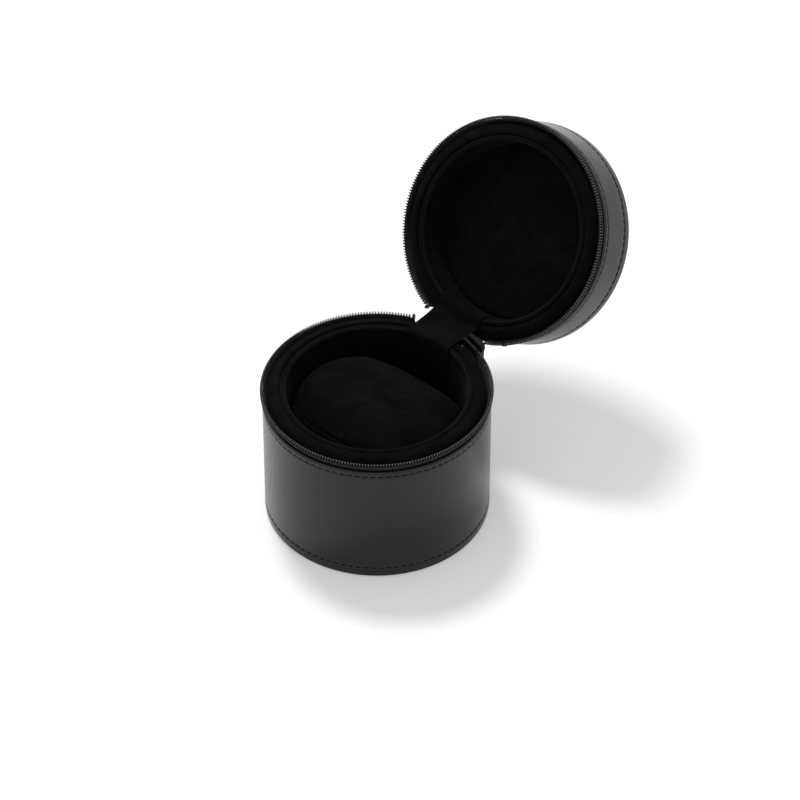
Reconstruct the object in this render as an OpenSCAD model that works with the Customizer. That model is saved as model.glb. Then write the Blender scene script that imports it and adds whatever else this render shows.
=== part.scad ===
// Round zipped watch travel case: a deep padded base, a shallow padded lid, a flexible
// hinge strip at the back and a coil zip round the rest of the seam. A loose cushion
// stands in the base, with a gap in front of it and one behind it.
// Origin: centre of the base's underside. +Z up, hinge at the back (+Y), front at -Y.

/* [Case] */
// Outside radius of the leather body
outer_r = 49; // [46:0.5:56]
// Height of the base's leather wall
base_h = 60.5; // [58:0.5:70]
// Height of the lid's leather wall
lid_h = 22.5; // [21:0.5:30]
// Distance between the two leather edges when the case is zipped shut
seam_gap = 10.4; // [10.4:0.1:12]
// Angle the lid stands open, from zipped shut
lid_open = 124.7; // [0:0.1:160]

/* [Walls] */
// Thickness of the outer leather
leather_t = 1.2; // [0.8:0.1:1.6]
// Thickness of the stiff board in the walls
board_t = 2.2; // [1.8:0.1:3]
// Thickness of the stiff board in the floor and the lid's top
floor_board_t = 2; // [1.5:0.1:3]
// Thickness of the foam behind the wall lining
foam_t = 6.1; // [5.5:0.1:8]
// Thickness of the velvet lining
lining_t = 0.8; // [0.6:0.1:1]
// Thickness of the foam on the floor of the base
floor_foam_t = 3; // [2:0.5:5]
// Thickness of the foam inside the lid's top
ceiling_foam_t = 7.2; // [5:0.2:8]
// Radius on the outer bottom and top edges of the leather
edge_round = 1.1; // [0.5:0.1:1.2]

/* [Padded rim] */
// Height of the rim's crest beyond the leather edge
crest_h = 5; // [4.6:0.1:5]
// Height at which the rim starts to round over
crown_start = 0.8; // [0.4:0.1:1]
// Diameter of the piping round the mouth of the cavity
welt_d = 3.2; // [2.6:0.1:3.6]

/* [Zip] */
// Thickness of the zip tape
tape_t = 0.6; // [0.5:0.1:0.8]
// Depth of tape sewn down inside the wall
tape_tuck = 6; // [4:0.5:8]
// Lean of the tape outwards between the seam and the coil
tape_lean = 0.9; // [0.8:0.1:1.2]
// Height of the coil's lower side beyond the leather edge
coil_low = 2.7; // [2.5:0.1:3]
// Width of one coil along the case's axis
coil_w = 2.2; // [1.8:0.1:2.2]
// Depth of the coil off the tape
coil_t = 1.3; // [1.2:0.1:1.5]
// Pitch of the coil's turns
coil_pitch = 1.27; // [1.2:0.01:1.8]
// Azimuth of the left end of the base's coil, beside the hinge strip
zip_left = 111.3; // [110:0.1:114]
// Azimuth of the left end of the lid's coil
lid_zip_left = 114.6; // [111:0.1:116]
// Azimuth of the right end of the base's coil
zip_right = 77.8; // [77.5:0.1:77.9]
// Azimuth of the right end of the lid's zip, short of the parked slider
lid_zip_right = 63.6; // [58:0.1:63.6]
// Azimuth that an end stop covers
stop_span = 1.2; // [1:0.1:1.3]
// Height of the bare tape between the zip's ends and the hinge strip
tail_h = 1.2; // [0.6:0.1:1.4]

/* [Slider] */
// Azimuth at which the slider is parked
slider_park = 72; // [71.5:0.1:72]
// Clearance of the slider's plates off the coils and the tape
slider_gap = 0.4; // [0.3:0.05:0.4]
// Clearance of the slider's side flanges off the coils
flange_gap = 0.2; // [0.15:0.05:0.2]
// Thickness of the slider's outer plate
plate_t = 0.9; // [0.7:0.1:1]
// Radius of the slider's rounded outline
slider_r = 5.2; // [4.8:0.1:5.2]
// Diameter of the post that the pull turns on
post_d = 1.6; // [1.2:0.1:1.8]
// Clearance of the pull's eye round its post
post_gap = 0.25; // [0.2:0.05:0.4]
// Length of the pull from its post to its end
pull_len = 24; // [18:0.5:30]
// Width of the pull at its end
pull_w = 6.5; // [5.5:0.1:7]
// Thickness of the pull
pull_t = 0.9; // [0.7:0.1:1.1]

/* [Hinge strip] */
// Half width of the strip on the left
strip_left = 13.5; // [11:0.5:13.5]
// Half width of the strip on the right
strip_right = 8.7; // [6:0.1:8.7]
// Distance of the hinge line behind the leather
hinge_out = 1.3; // [1:0.1:1.5]
// Distance of the hinge line below the base's leather edge
hinge_drop = 0.2; // [0:0.1:0.4]
// Thickness of the strip and of its velvet lining
strip_t = 0.6; // [0.5:0.1:0.7]
// Clearance of the strip and its lining from the open lid
soft_gap = 0.3; // [0.3:0.05:0.5]
// How far the strip's curve runs straight out of each seam
strip_reach = 12; // [10:0.5:13]

/* [Cushion] */
// Height of the foam block under the cushion, with its cover
block_h = 26; // [22:0.5:28]
// Height of the cushion over its crown
cushion_h = 29.2; // [27:0.2:30]
// Half length of the cushion between the gaps in front of it and behind it
cushion_half = 29; // [27:0.5:30]
// Radius of the cushion's crown from front to back
cushion_crown_r = 45.6; // [44:0.2:60]
// Clearance of the cushion in its cavity
cushion_gap = 0.3; // [0.3:0.1:0.6]
// Thickness of the cushion's velvet cover
cover_t = 1.2; // [0.8:0.1:1.5]

/* [Stitching] */
// Distance of the rows of stitches at the seam from the leather edge
stitch_in = 2.75; // [2.5:0.05:3.5]
// Distance of the rows near the foot and near the lid's top from those ends
foot_stitch_z = 4.8; // [4:0.1:6]
// Number of stitches in a row
stitch_n = 93; // [80:1:100]
// Length of one stitch
stitch_len = 2.2; // [1.8:0.1:2.5]
// Thickness of the thread
thread_d = 0.5; // [0.4:0.05:0.6]
// Depth of the groove that the thread lies in
groove_d = 0.35; // [0.25:0.05:0.4]

/* [Hidden] */
$fn = 96;

// Depths are measured from a half's own leather edge towards the seam (positive)
// and into the half (negative); at() turns them into heights of the closed case.
lid_edge = base_h + seam_gap;
function at(d, lid) = lid ? lid_edge - d : base_h + d;
function place(pts, lid) = [for (p = pts) [p[0], at(p[1], lid)]];

// Radii from the outside in
leather_in = outer_r - leather_t;
tape_in = leather_in - tape_t;
tail_in = tape_in - lining_t;
board_in = leather_in - board_t;
foam_in = board_in - foam_t;
cavity_r = foam_in - lining_t;
welt_out = cavity_r + welt_d;
crest_r = welt_out + lining_t;
welt_seat = crest_h - welt_d - 0.1;
board_top = -1;
mid_z = base_h + seam_gap / 2;

// Depths of the floor's and the lid top's layers
base_deep = [-base_h, -base_h + leather_t, -base_h + leather_t + floor_board_t,
             -base_h + leather_t + floor_board_t + floor_foam_t];
lid_deep = [-lid_h, -lid_h + leather_t, -lid_h + leather_t + floor_board_t,
            -lid_h + leather_t + floor_board_t + ceiling_foam_t];

hinge_y = outer_r + hinge_out;
hinge_z = base_h - hinge_drop;

tape_out_r = leather_in + tape_lean;
coil_r = tape_out_r + coil_t;
coil_high = coil_low + coil_w;
tape_step = coil_low - 0.3;
rows = 18;
cols = 14;

module open_lid() {
    translate([0, hinge_y, hinge_z]) rotate([-lid_open, 0, 0])
        translate([0, -hinge_y, -hinge_z]) children();
}

function opened(p) = let (y = p[1] - hinge_y, z = p[2] - hinge_z, c = cos(lid_open), s = sin(lid_open))
    [p[0], hinge_y + c * y + s * z, hinge_z - s * y + c * z];

// A ring turned about the case's axis from a list of [radius, depth]
module turned(pts, lid = false, start = 0, span = 360) {
    rotate([0, 0, start]) rotate_extrude(angle = span, $fn = 96) polygon(place(pts, lid));
}

function groove(d) = [[outer_r, d - 0.5], [outer_r - groove_d, d - 0.3],
                      [outer_r - groove_d, d + 0.3], [outer_r, d + 0.5]];

function quarter(a, b, r0, d0) = [for (i = [0:8]) [r0 + a * cos(i * 90 / 8), d0 + b * sin(i * 90 / 8)]];

function reversed(v) = [for (i = [len(v) - 1:-1:0]) v[i]];

// Leather wall, with a rounded outer edge at its far end and a groove for each stitch row
module leather_wall(deep, grooves, lid) {
    turned(concat(
        [[leather_in, deep]],
        [for (i = [0:4]) [outer_r - edge_round + edge_round * sin(i * 22.5),
                          deep + edge_round - edge_round * cos(i * 22.5)]],
        [for (g = grooves) each groove(g)],
        [[outer_r, -0.4], [outer_r - 0.12, -0.12], [outer_r - 0.4, 0], [leather_in, 0]]), lid);
}

module disc(r, d0, d1, lid) {
    translate([0, 0, min(at(d0, lid), at(d1, lid))]) cylinder(r = r, h = abs(d1 - d0));
}

module wall_board(deep, lid) {
    turned([[board_in, deep], [leather_in, deep], [leather_in, -tape_tuck], [tail_in, -tape_tuck],
            [tail_in, board_top], [board_in, board_top]], lid);
}

module wall_foam(deep, lid) {
    turned(concat(
        [[foam_in, deep], [board_in, deep], [board_in, board_top], [tail_in, board_top]],
        quarter(tail_in - crest_r, crest_h - crown_start - lining_t, crest_r, crown_start),
        [[crest_r, welt_seat - lining_t], [foam_in, welt_seat - lining_t]]), lid);
}

// Velvet: over the padded rim, under the piping and down the cavity wall, in one skin
module wall_lining(deep, lid) {
    turned(concat(
        [[tape_in, -tape_tuck]],
        quarter(tape_in - crest_r, crest_h - crown_start, crest_r, crown_start),
        [[welt_out + lining_t / 2, crest_h - 0.1], [welt_out, crest_h - 0.5], [welt_out, welt_seat],
         [cavity_r, welt_seat], [cavity_r, deep], [foam_in, deep],
         [foam_in, welt_seat - lining_t], [crest_r, welt_seat - lining_t]],
        reversed(quarter(tail_in - crest_r, crest_h - crown_start - lining_t, crest_r, crown_start)),
        [[tail_in, -tape_tuck]]), lid);
}

module rim_welt(lid) {
    translate([0, 0, at(welt_seat + welt_d / 2, lid)])
        rotate_extrude($fn = 96) translate([cavity_r + welt_d / 2, 0]) circle(d = welt_d, $fn = 32);
}

// Tape: sewn into the seam, leaning out and then standing behind the coil. Past the coil's
// ends it goes on low, up to the hinge strip.
module zip_tape(lid, left, right) {
    lean = tape_lean * tail_h / tape_step;
    low = [[tape_in, -tape_tuck], [leather_in, -tape_tuck], [leather_in, 0],
           [leather_in + lean, tail_h], [tape_in + lean, tail_h], [tape_in, 0]];
    turned([[tape_in, -tape_tuck], [leather_in, -tape_tuck], [leather_in, 0],
            [tape_out_r, tape_step], [tape_out_r, coil_high], [tape_out_r - tape_t, coil_high],
            [tape_out_r - tape_t, tape_step], [tape_in, 0]], lid, left, 360 + right - left);
    turned(low, lid, strip_az(-strip_left) + 0.3, left - strip_az(-strip_left) - 0.3);
    if (strip_az(strip_right) - right > 1)
        turned(low, lid, right, strip_az(strip_right) - 0.3 - right);
}

// Azimuth at which the hinge strip's edge leaves the seam
function strip_az(x) = acos(x / tape_in);

// Coil: one toothed band; each tooth is one turn of the coil
module zip_coil(lid, left, right) {
    span = 360 + right - left;
    n = floor(span * PI / 180 * coil_r / coil_pitch);
    step = span / n;
    back = ceil(span / 1.5);
    root_r = coil_r - coil_t * 0.5;
    translate([0, 0, min(at(coil_low, lid), at(coil_high, lid))]) linear_extrude(coil_w)
        polygon(concat(
            [for (i = [0:n - 1], k = [0:3]) let (
                a = left + step * (i + [0, 0.02, 0.5, 0.52][k]), r = [root_r, coil_r, coil_r, root_r][k])
                [r * cos(a), r * sin(a)]],
            [for (i = [back:-1:0]) let (a = left + span * i / back,
                r = tape_out_r / cos(span / back / 2)) [r * cos(a), r * sin(a)]]));
}

// A clamp round the coil's end
module zip_stop(lid, start) {
    turned([[tape_out_r, coil_low - 0.1], [coil_r + 0.2, coil_low - 0.1],
            [coil_r + 0.2, coil_high + 0.1], [tape_out_r, coil_high + 0.1]], lid, start, stop_span);
}

module stitch_row(d, lid) {
    for (i = [0:stitch_n - 1]) rotate([0, 0, (i + 0.5) * 360 / stitch_n])
        translate([outer_r - groove_d + thread_d / 2, 0, at(d, lid)])
            rotate([90, 0, 0]) cylinder(d = thread_d, h = stitch_len, center = true, $fn = 8);
}

// A flexible sheet between a curve at radius r0 on the base and one at r1 on the lid.
// Each row of points follows the round wall; the middle line leaves both seams smoothly.
// With a tuck, the sheet starts that far down inside the base's seam.
module sheet_between(r0, z0, dir0, r1, z1, dir1, reach, t, tuck = 0) {
    function curve(x, r) = sqrt(r * r - x * x);
    function h(u) = [2 * u * u * u - 3 * u * u + 1, u * u * u - 2 * u * u + u,
                     3 * u * u - 2 * u * u * u, u * u * u - u * u];
    function point(x, u) = u < 0 ? [x, curve(x, r0), z0 - tuck] : let (w = h(u), p = [x, curve(x, r0), z0], q = opened([x, curve(x, r1), z1]))
        w[0] * p + w[1] * reach * dir0 + w[2] * q + w[3] * reach * dir1;
    function normal(u) = let (e = 0.01, v = point(0, min(1, max(0, u) + e)) - point(0, max(0, u - e)),
        n = [0, -v[2], v[1]]) n / norm(n);
    xs = [for (j = [0:cols]) -strip_left + (strip_left + strip_right) * j / cols];
    us = concat(tuck > 0 ? [-1] : [], [for (i = [0:rows]) i / rows]);
    last = len(us) - 1;
    n = cols + 1;
    m = (last + 1) * n;
    top = [for (u = us, x = xs) point(x, u) + normal(u) * t / 2];
    low = [for (u = us, x = xs) point(x, u) - normal(u) * t / 2];
    polyhedron(concat(top, low), concat(
        [for (i = [0:last - 1], j = [0:cols - 1]) each
            [[i * n + j, (i + 1) * n + j + 1, i * n + j + 1], [i * n + j, (i + 1) * n + j, (i + 1) * n + j + 1]]],
        [for (i = [0:last - 1], j = [0:cols - 1]) each
            [[m + i * n + j, m + i * n + j + 1, m + (i + 1) * n + j + 1],
             [m + i * n + j, m + (i + 1) * n + j + 1, m + (i + 1) * n + j]]],
        [for (j = [0:cols - 1]) each
            [[j, j + 1, m + j + 1], [j, m + j + 1, m + j]]],
        [for (j = [0:cols - 1]) let (b = last * n + j) each
            [[b, m + b, m + b + 1], [b, m + b + 1, b + 1]]],
        [for (i = [0:last - 1]) let (b = i * n, c = b + n) each
            [[b, m + b, m + c], [b, m + c, c]]],
        [for (i = [0:last - 1]) let (b = i * n + cols, c = b + n) each
            [[b, c, m + c], [b, m + c, m + b]]]));
}

// Cushion: crowned both ways, drawn in at its sides, round ends that fit the cavity
module cushion(inset) {
    bottom = base_h + base_deep[3] + lining_t + block_h + cushion_gap;
    r = cavity_r - cushion_gap;
    mid = bottom + cushion_h / 2;
    top = bottom + cushion_h;
    ky = (cushion_half - inset) / cushion_half;
    kz = (cushion_h / 2 - inset) / (cushion_h / 2);
    kr = (r - inset) / r;
    function crown(y) = top - cushion_crown_r + sqrt(pow(cushion_crown_r, 2) - y * y);
    side = concat(
        [[0, bottom], [cushion_half - 7, bottom], [cushion_half - 3.5, bottom + 0.7],
         [cushion_half - 1.4, bottom + 2.7], [cushion_half - 0.4, bottom + 5.7],
         [cushion_half, bottom + 9.7], [cushion_half, mid - 1], [cushion_half - 0.2, mid + 2],
         [cushion_half - 0.7, mid + 4.3]],
        [for (y = [cushion_half - 1.7:-4:0]) [y, crown(y)]], [[0, top]]);
    section = concat(side, [for (i = [len(side) - 2:-1:1]) [-side[i][0], side[i][1]]]);
    profile = [[0, bottom], [r - 8.4, bottom], [r - 4.4, bottom + 0.9], [r - 1.6, bottom + 3.1],
               [r - 0.4, bottom + 6.2], [r, bottom + 9.7], [r, mid - 1], [r - 0.3, mid + 2],
               [r - 1, mid + 4.4], [r - 2.4, mid + 6.3], [r - 5.4, mid + 8.4], [r - 10.4, mid + 10.7],
               [r - 16.4, mid + 12.6], [r - 24.4, mid + 14], [0, top]];
    intersection() {
        rotate_extrude($fn = 96) polygon([for (p = profile) [p[0] * kr, mid + (p[1] - mid) * kz]]);
        rotate([90, 0, 90]) linear_extrude(3 * r, center = true)
            polygon([for (p = section) [p[0] * ky, mid + (p[1] - mid) * kz]]);
    }
}

module base_wall_leather() {
    color([0.05, 0.05, 0.055]) leather_wall(-base_h, [foot_stitch_z - base_h, -stitch_in], false);
}

module base_bottom_leather() {
    color([0.05, 0.05, 0.055]) disc(leather_in, base_deep[0], base_deep[1], false);
}

module base_wall_board() {
    color([0.45, 0.38, 0.3]) wall_board(base_deep[1], false);
}

module base_floor_board() {
    color([0.45, 0.38, 0.3]) disc(board_in, base_deep[1], base_deep[2], false);
}

module base_wall_foam() {
    color([0.6, 0.6, 0.58]) wall_foam(base_deep[2], false);
}

module base_floor_foam() {
    color([0.6, 0.6, 0.58]) disc(foam_in, base_deep[2], base_deep[3], false);
}

module base_wall_lining() {
    color([0.02, 0.02, 0.022]) wall_lining(base_deep[3], false);
}

module base_floor_lining() {
    color([0.02, 0.02, 0.022]) disc(cavity_r, base_deep[3], base_deep[3] + lining_t, false);
}

module base_rim_welt() {
    color([0.03, 0.03, 0.033]) rim_welt(false);
}

module base_zip_tape() {
    color([0.03, 0.03, 0.033]) zip_tape(false, zip_left - stop_span, zip_right + stop_span);
}

module base_zip_coil() {
    color([0.08, 0.08, 0.085]) zip_coil(false, zip_left, zip_right);
}

module base_zip_stops() {
    color([0.15, 0.15, 0.16]) {
        zip_stop(false, zip_left - stop_span);
        zip_stop(false, zip_right);
    }
}

module base_rim_stitches() {
    color([0.07, 0.07, 0.075]) stitch_row(-stitch_in, false);
}

module base_foot_stitches() {
    color([0.07, 0.07, 0.075]) stitch_row(foot_stitch_z - base_h, false);
}

module insert_block() {
    color([0.6, 0.6, 0.58]) translate([0, 0, at(base_deep[3] + lining_t, false)])
        cylinder(r = foam_in - 2 * lining_t, h = block_h - lining_t);
}

module insert_cover() {
    z0 = at(base_deep[3] + lining_t, false);
    color([0.02, 0.02, 0.022]) difference() {
        translate([0, 0, z0]) cylinder(r = cavity_r, h = block_h);
        translate([0, 0, z0 - 1]) cylinder(r = foam_in - 2 * lining_t, h = block_h - lining_t + 1);
    }
}

// The strip is sewn into the base's seam and runs over the gap to the lid's seam
module hinge_strip() {
    color([0.04, 0.04, 0.044])
        sheet_between(leather_in - tape_t / 2, base_h, [0, 0, 1],
                      leather_in + 0.05, lid_edge - soft_gap, [0, sin(lid_open), cos(lid_open)],
                      strip_reach, strip_t - 0.02, tape_tuck);
}

// Velvet lining of the hinge, from the crest of one padded rim to the crest of the other
module hinge_lining() {
    color([0.02, 0.02, 0.022])
        sheet_between(crest_r, at(crest_h, false) + strip_t / 2, [0, 1, 0],
                      crest_r, at(crest_h, true) - soft_gap - strip_t / 2,
                      [0, -cos(lid_open), sin(lid_open)], strip_reach - 2, strip_t);
}

module pillow_core() {
    color([0.6, 0.6, 0.58]) cushion(cover_t);
}

module pillow_cover() {
    color([0.03, 0.03, 0.033]) difference() {
        cushion(0);
        cushion(cover_t);
    }
}

module lid_wall_leather() {
    color([0.05, 0.05, 0.055]) open_lid() leather_wall(-lid_h, [foot_stitch_z - lid_h, -stitch_in], true);
}

module lid_top_leather() {
    color([0.05, 0.05, 0.055]) open_lid() disc(leather_in, lid_deep[0], lid_deep[1], true);
}

module lid_wall_board() {
    color([0.45, 0.38, 0.3]) open_lid() wall_board(lid_deep[1], true);
}

module lid_top_board() {
    color([0.45, 0.38, 0.3]) open_lid() disc(board_in, lid_deep[1], lid_deep[2], true);
}

module lid_wall_foam() {
    color([0.6, 0.6, 0.58]) open_lid() wall_foam(lid_deep[2], true);
}

module lid_ceiling_foam() {
    color([0.6, 0.6, 0.58]) open_lid() disc(foam_in, lid_deep[2], lid_deep[3], true);
}

module lid_wall_lining() {
    color([0.02, 0.02, 0.022]) open_lid() wall_lining(lid_deep[3], true);
}

module lid_ceiling_lining() {
    color([0.02, 0.02, 0.022]) open_lid() disc(cavity_r, lid_deep[3], lid_deep[3] + lining_t, true);
}

module lid_rim_welt() {
    color([0.03, 0.03, 0.033]) open_lid() rim_welt(true);
}

module lid_zip_tape() {
    color([0.03, 0.03, 0.033]) open_lid() zip_tape(true, lid_zip_left - stop_span, lid_zip_right);
}

module lid_zip_coil() {
    color([0.08, 0.08, 0.085]) open_lid() zip_coil(true, lid_zip_left, lid_zip_right - stop_span);
}

module lid_zip_stops() {
    color([0.15, 0.15, 0.16]) open_lid() {
        zip_stop(true, lid_zip_left - stop_span);
        zip_stop(true, lid_zip_right - stop_span);
    }
}

module lid_rim_stitches() {
    color([0.07, 0.07, 0.075]) open_lid() stitch_row(-stitch_in, true);
}

module lid_top_stitches() {
    color([0.07, 0.07, 0.075]) open_lid() stitch_row(foot_stitch_z - lid_h, true);
}

// Radii and half widths of the slider, from the coils and the tape that it rides on
plate_in = coil_r + slider_gap;
plate_out = plate_in + plate_t;
half_w = seam_gap / 2 - coil_low + flange_gap + 0.35;
bridge_t = (seam_gap - 2 * coil_high) / 2;
post_y = -1.8;
pull_r = plate_out + 0.2;
bar_r = pull_r + pull_t + 0.3;

// A curved slab of the slider, z measured from the middle of the seam
module slab(r0, r1, z0, z1, from = -8, to = 8) {
    rotate([0, 0, from]) rotate_extrude(angle = to - from, $fn = 96)
        polygon([[r0, mid_z + z0], [r1, mid_z + z0], [r1, mid_z + z1], [r0, mid_z + z1]]);
}

module outline(r) {
    translate([outer_r - 6, 0, mid_z]) rotate([0, 90, 0]) cylinder(r = r, h = 12);
}

// Outer plate with side flanges, thin bridge between the coils, inner plate, and the bail
module zip_slider() {
    in_out = tape_out_r - tape_t - slider_gap + 0.1;
    color([0.12, 0.12, 0.13]) rotate([0, 0, slider_park]) {
        intersection() {
            union() {
                slab(plate_in, plate_out, -half_w, half_w);
                slab(plate_in - 0.9, plate_in, -half_w, 0.35 - half_w);
                slab(plate_in - 0.9, plate_in, half_w - 0.35, half_w);
            }
            outline(slider_r);
        }
        intersection() {
            slab(in_out - 0.7, in_out, -1.8, 1.8);
            outline(slider_r - 0.2);
        }
        slab(in_out - 0.1, plate_in + 0.1, -bridge_t / 2, bridge_t / 2, -4.4, -1.4);
        translate([plate_out - 0.4, post_y, mid_z]) rotate([0, 90, 0])
            cylinder(d = post_d, h = bar_r + 0.3 - plate_out + 0.4);
        translate([plate_out - 0.4, 2.2, mid_z - post_d / 2])
            cube([bar_r + 0.3 - plate_out + 0.4, 0.9, post_d]);
        translate([bar_r, post_y - post_d / 2, mid_z - post_d / 2])
            cube([0.8, 3.1 - post_y + post_d / 2, post_d]);
    }
}

// Flat pull with a round eye, hanging down beside the wall
module zip_pull() {
    color([0.12, 0.12, 0.13]) rotate([0, 0, slider_park]) translate([pull_r, post_y, mid_z])
        rotate([0, 90, 0]) linear_extrude(pull_t) difference() {
            union() {
                circle(d = post_d + 3.6, $fn = 48);
                polygon([[1.5, -2], [8, -1.5], [11, -pull_w / 2], [pull_len - pull_w / 2, -pull_w / 2],
                         [pull_len - pull_w / 2, pull_w / 2], [11, pull_w / 2], [8, 1.5], [1.5, 2]]);
                translate([pull_len - pull_w / 2, 0]) circle(d = pull_w, $fn = 48);
            }
            circle(d = post_d + 2 * post_gap, $fn = 48);
        }
}

base_wall_leather();
base_bottom_leather();
base_wall_board();
base_floor_board();
base_wall_foam();
base_floor_foam();
base_wall_lining();
base_floor_lining();
base_rim_welt();
base_zip_tape();
base_zip_coil();
base_zip_stops();
base_rim_stitches();
base_foot_stitches();
insert_block();
insert_cover();
hinge_strip();
hinge_lining();
pillow_core();
pillow_cover();
lid_wall_leather();
lid_top_leather();
lid_wall_board();
lid_top_board();
lid_wall_foam();
lid_ceiling_foam();
lid_wall_lining();
lid_ceiling_lining();
lid_rim_welt();
lid_zip_tape();
lid_zip_coil();
lid_zip_stops();
lid_rim_stitches();
lid_top_stitches();
zip_slider();
zip_pull();
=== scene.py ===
# %% [markdown]
# # A round watch case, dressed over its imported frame
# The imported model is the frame: every solid of the case is already in place, in metres, with
# the lid standing open. This lesson builds what the eye sees on top of it: leather with its
# stitches, velvet over foam, a coil zip, and a cushion. Each step says what the piece is on
# the real object, how it could be made, and why this way was picked.

# %% Load the frame
import math
import bpy
import bmesh
import numpy as np
from mathutils import Matrix, Vector


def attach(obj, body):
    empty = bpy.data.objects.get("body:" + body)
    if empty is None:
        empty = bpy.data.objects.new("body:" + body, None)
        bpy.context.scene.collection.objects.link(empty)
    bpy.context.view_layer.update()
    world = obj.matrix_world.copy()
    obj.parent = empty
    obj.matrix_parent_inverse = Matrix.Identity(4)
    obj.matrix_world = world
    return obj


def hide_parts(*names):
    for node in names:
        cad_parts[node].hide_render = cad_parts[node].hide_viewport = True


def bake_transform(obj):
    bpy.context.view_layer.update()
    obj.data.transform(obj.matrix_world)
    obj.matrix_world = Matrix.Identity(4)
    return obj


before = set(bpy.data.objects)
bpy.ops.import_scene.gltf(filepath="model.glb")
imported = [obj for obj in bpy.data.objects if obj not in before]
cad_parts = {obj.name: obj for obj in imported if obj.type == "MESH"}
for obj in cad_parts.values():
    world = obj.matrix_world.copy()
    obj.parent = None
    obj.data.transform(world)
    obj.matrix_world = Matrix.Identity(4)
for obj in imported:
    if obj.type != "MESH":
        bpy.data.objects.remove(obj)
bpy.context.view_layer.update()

# %% [markdown]
# ## The case in numbers
# The case is turned: nearly every piece is a ring about one upright axis. So a point is easiest
# to say as a radius and a depth, measured in millimetres from the half's own leather edge
# towards the seam (positive) or into the half (negative). The same numbers then serve the
# base and the lid.

# %% Sizes in millimetres
MM = 0.001
BASE_EDGE, LID_EDGE = 60.5, 70.9
BASE_DEEP, LID_DEEP = -60.5, -22.5
OUTER_R, LEATHER_IN, TAPE_IN, TAIL_IN = 49.0, 47.8, 47.2, 46.4
CREST_R, WELT_OUT, CAVITY_R, FOAM_IN = 42.7, 41.9, 38.7, 39.5
CREST_D, CROWN_D, WELT_D, WELT_R = 5.0, 0.8, 3.3, 1.6
STITCHES, ZIP_PITCH = 93, 1.27
BASE_FLOOR_D, LID_WALL_D, LID_CEILING_D = -54.3, -12.1, -11.3
HINGE_Y, HINGE_Z, OPEN = 50.3, 60.3, math.radians(124.7)
ONCE_ROUND = 2 * math.pi


def opened(points):
    """Points of the closed lid, in millimetres, swung to where the lid stands open."""
    p = np.asarray(points, float).copy()
    y, z = p[..., 1] - HINGE_Y, p[..., 2] - HINGE_Z
    c, s = math.cos(OPEN), math.sin(OPEN)
    p[..., 1], p[..., 2] = HINGE_Y + c * y + s * z, HINGE_Z - s * y + c * z
    return p


print("lid's crest stands at", opened([0, CREST_R, LID_EDGE - CREST_D]).round(1))

# %% [markdown]
# ## Helpers for shader nodes
# A material can be clicked together or written down. Written down, each node is one line, so
# a few short helpers are enough: they add a node with its values and links, stretch or mix
# what another node gives, and open a new node group with named sockets.


# %% Node helpers
def add(tree, kind, values=None, **settings):
    """Adds a shader node; a value that is a socket is linked, anything else is set."""
    made = tree.nodes.new("ShaderNode" + kind)
    for key, value in settings.items():
        setattr(made, key, value)
    for key, value in (values or {}).items():
        if isinstance(value, bpy.types.NodeSocket):
            tree.links.new(value, made.inputs[key])
        else:
            made.inputs[key].default_value = value
    return made


def sum_up(tree, operation, a, b=0.0, clamp=False):
    """One step of arithmetic between two values."""
    return add(tree, "Math", {0: a, 1: b}, operation=operation, use_clamp=clamp).outputs[0]


def noise(tree, place, scale, detail, **more):
    """Cloudy noise; scale is in waves for each metre."""
    values = {"Vector": place, "Scale": scale, "Detail": detail}
    return add(tree, "TexNoise", {**values, **more}).outputs["Fac"]


def colour_mix(tree, factor, a, b):
    """The mix of two colours, each given as numbers or as a socket."""
    return add(tree, "Mix", {"Factor": factor, "A": a, "B": b}, data_type="RGBA").outputs["Result"]


def spread(tree, value, low, high, to_low=0.0, to_high=1.0):
    """Stretches a value from one range to another."""
    return add(tree, "MapRange", {"Value": value, "From Min": low, "From Max": high,
                                  "To Min": to_low, "To Max": to_high}).outputs["Result"]


def open_group(name, inputs, outputs):
    """A new node group; returns it with the sockets that bring its inputs and take its outputs."""
    group = bpy.data.node_groups.new(name, "ShaderNodeTree")
    for label, kind, value in inputs:
        socket = group.interface.new_socket(label, in_out="INPUT", socket_type=kind)
        if value is not None:
            socket.default_value = value
    for label in outputs:
        group.interface.new_socket(label, in_out="OUTPUT", socket_type="NodeSocketFloat")
    print("group:", name, "gives", ", ".join(outputs))
    return group, group.nodes.new("NodeGroupInput").outputs, group.nodes.new("NodeGroupOutput").inputs


def use_group(tree, group, values):
    """Places a group with this material's own values; returns its outputs."""
    return add(tree, "Group", dict(values), node_tree=group).outputs


VEC, NUM = "NodeSocketVector", "NodeSocketFloat"

# %% [markdown]
# ## Grain
# Finished leather has a skin of tiny domed cells, with finer pores on them. A picture of
# leather would tile; a smoothed Voronoi pattern gives domes of the right half millimetre
# anywhere on the piece, and a slow noise gives the patches where the finish lies thicker.

# %% Group: leather grain
grain_group, gi, go = open_group("Leather grain", [("Place", VEC, None), ("Cells", NUM, 1700.0)],
                                 ["Height", "Patches"])
domes = add(grain_group, "TexVoronoi", {"Vector": gi["Place"], "Scale": gi["Cells"], "Smoothness": 0.8},
            feature="SMOOTH_F1").outputs["Distance"]
pores = noise(grain_group, gi["Place"], 5200.0, 2.0)
slow = noise(grain_group, gi["Place"], 45.0, 3.0, Roughness=0.55)
height = sum_up(grain_group, "ADD", sum_up(grain_group, "MULTIPLY", domes, -0.8),
                sum_up(grain_group, "MULTIPLY", pores, 0.35))
grain_group.links.new(height, go["Height"])
grain_group.links.new(spread(grain_group, slow, 0.3, 0.7), go["Patches"])

# %% [markdown]
# ## Nap
# Velvet is a lawn of upright fibres. Where it was brushed or pressed the fibres lean, and the
# cloth looks lighter or darker. Fibres are far too many to model, so one noise makes the
# fine fuzz and a slow, stretched one makes the brushed patches.

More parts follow.
